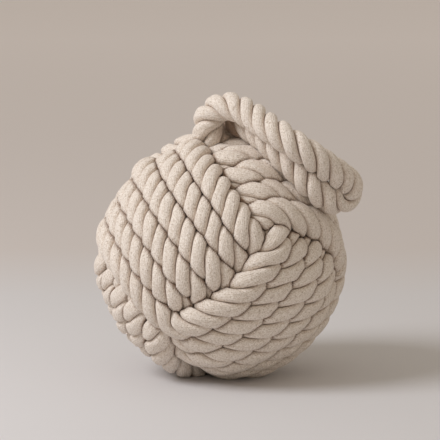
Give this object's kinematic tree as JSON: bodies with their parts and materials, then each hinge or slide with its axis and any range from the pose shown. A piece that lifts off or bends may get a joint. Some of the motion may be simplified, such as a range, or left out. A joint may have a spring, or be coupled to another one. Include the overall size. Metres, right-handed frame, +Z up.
{
  "type": "rope knot doorstop",
  "caption": "Ball-shaped cotton rope doorstop: a monkey's fist knot worked over a sand-filled canvas bag, with a loop handle of the same rope that lifts at its root.",
  "frame": {"origin": "on the floor, in the flat underside of the lowest strand, 6 mm from the point under the ball's centre", "axes": "+X to the right and +Y away from the viewer in the picture, +Z up"},
  "size_m": [0.1902, 0.1737, 0.2062],
  "materials": {
    "rope": "thick twisted natural cotton, matte",
    "canvas": "plain unbleached canvas, matte",
    "sand": "dry sand, matte"
  },
  "bodies": {
    "knot": {"rope_turn_01": "rope", "rope_turn_02": "rope", "rope_turn_03": "rope", "rope_turn_04": "rope", "rope_turn_05": "rope", "rope_turn_06": "rope", "rope_turn_07": "rope", "rope_turn_08": "rope", "rope_turn_09": "rope", "rope_turn_10": "rope", "rope_turn_11": "rope", "rope_turn_12": "rope", "rope_turn_13": "rope", "rope_turn_14": "rope", "rope_turn_15": "rope", "handle_neck_front": "rope", "handle_neck_back": "rope", "bag_half_lower": "canvas", "bag_half_upper": "canvas", "sand_fill": "sand"},
    "handle": {"handle_loop": "rope"}
  },
  "joints": [
    {"name": "handle_lift", "type": "hinge", "parent": "knot", "child": "handle", "pos_m": [0.00571, -0.02808, 0.17681], "axis": [-0.4194, -0.9078, 0], "range_deg": [0, 75], "deforming": ["handle_neck_front", "handle_neck_back"]}
  ]
}
